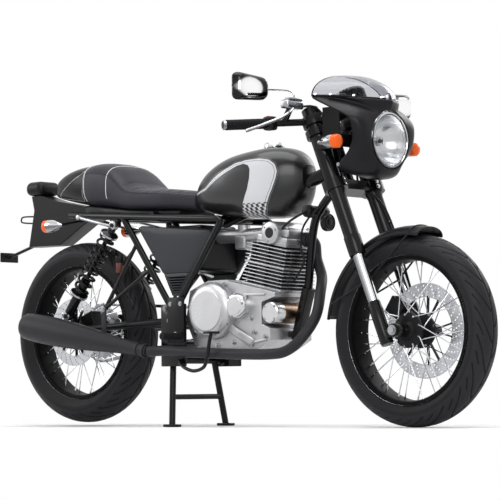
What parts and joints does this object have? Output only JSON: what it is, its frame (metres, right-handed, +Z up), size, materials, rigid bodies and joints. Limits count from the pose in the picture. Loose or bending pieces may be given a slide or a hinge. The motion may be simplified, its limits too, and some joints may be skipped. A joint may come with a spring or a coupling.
{
  "type": "cafe racer motorcycle",
  "caption": "Cafe racer motorcycle with half fairing, single saddle and tail hump, air-cooled engine, wire wheels, twin rear shocks and a centre stand.",
  "frame": {"origin": "on the floor below the middle of the machine's overall length, in its middle plane", "axes": "+X towards the front wheel, +Y to the rider's left, +Z up"},
  "size_m": [2.118, 0.86, 1.0943],
  "materials": {
    "tyre_rubber": "treaded rubber",
    "cast_aluminium": "cast, lightly polished",
    "steel": "brushed",
    "chrome": "polished",
    "seat_leather": "ribbed, sewn",
    "smoked_screen": "lightly smoked",
    "exhaust_black": "heat-proof black coat",
    "frame_gloss_black": "gloss black coat",
    "satin_black": "satin black coat"
  },
  "bodies": {
    "chassis": {"air_box": "satin_black", "brake_pedal": "satin_black", "carburettor": "cast_aluminium", "chain": "steel", "clutch_cover": "cast_aluminium", "crankcase": "cast_aluminium", "cylinder": "cast_aluminium", "cylinder_head": "cast_aluminium", "exhaust_pipe": "exhaust_black", "footpeg_left": "satin_black", "footpeg_right": "satin_black", "frame": "frame_gloss_black", "front_sprocket": "steel", "fuel_tank": "satin_black", "gear_lever": "satin_black", "generator_cover": "cast_aluminium", "horn": "satin_black", "muffler": "exhaust_black", "rear_caliper": "satin_black", "rear_fender": "satin_black", "rear_signal_left": "chrome", "rear_signal_right": "chrome", "seat": "seat_leather", "shock_left": "satin_black", "shock_right": "satin_black", "side_cover_left": "satin_black", "side_cover_right": "satin_black", "starter_motor": "steel", "swingarm": "satin_black", "tail_cowl": "satin_black", "tail_lamp": "satin_black", "tank_cap": "chrome"},
    "steering": {"fork_clamps": "satin_black", "fork_upper_right": "satin_black", "fork_upper_left": "satin_black", "fork_lower_right": "chrome", "fork_lower_left": "chrome", "front_caliper": "satin_black", "handlebar_right": "satin_black", "handlebar_left": "satin_black", "mirror_right": "chrome", "mirror_left": "chrome", "headlight": "chrome", "lamp_bracket": "satin_black", "instruments": "satin_black", "fairing": "satin_black", "windscreen": "smoked_screen", "front_signal_right": "chrome", "front_signal_left": "chrome", "front_fender": "satin_black"},
    "front_wheel_set": {"front_tyre": "tyre_rubber", "front_wheel": "satin_black", "front_disc": "steel"},
    "rear_wheel_set": {"rear_tyre": "tyre_rubber", "rear_wheel": "satin_black", "rear_disc": "steel", "rear_sprocket": "steel"},
    "stand": {"centre_stand": "satin_black"}
  },
  "joints": [
    {"name": "steering_turn", "type": "hinge", "parent": "chassis", "child": "steering", "pos_m": [0.51795, 0, 0.7116], "axis": [-0.3754, 0, 0.9269], "range_deg": [-30, 30]},
    {"name": "front_wheel_spin", "type": "hinge", "parent": "steering", "child": "front_wheel_set", "pos_m": [0.76575, 0, 0.2933], "axis": [0, 1, 0], "continuous": true},
    {"name": "rear_wheel_spin", "type": "hinge", "parent": "chassis", "child": "rear_wheel_set", "pos_m": [-0.65705, 0, 0.32], "axis": [0, 1, 0], "continuous": true},
    {"name": "stand_fold", "type": "hinge", "parent": "chassis", "child": "stand", "pos_m": [-0.15705, 0, 0.216], "axis": [0, 1, 0], "range_deg": [0, 75]}
  ]
}
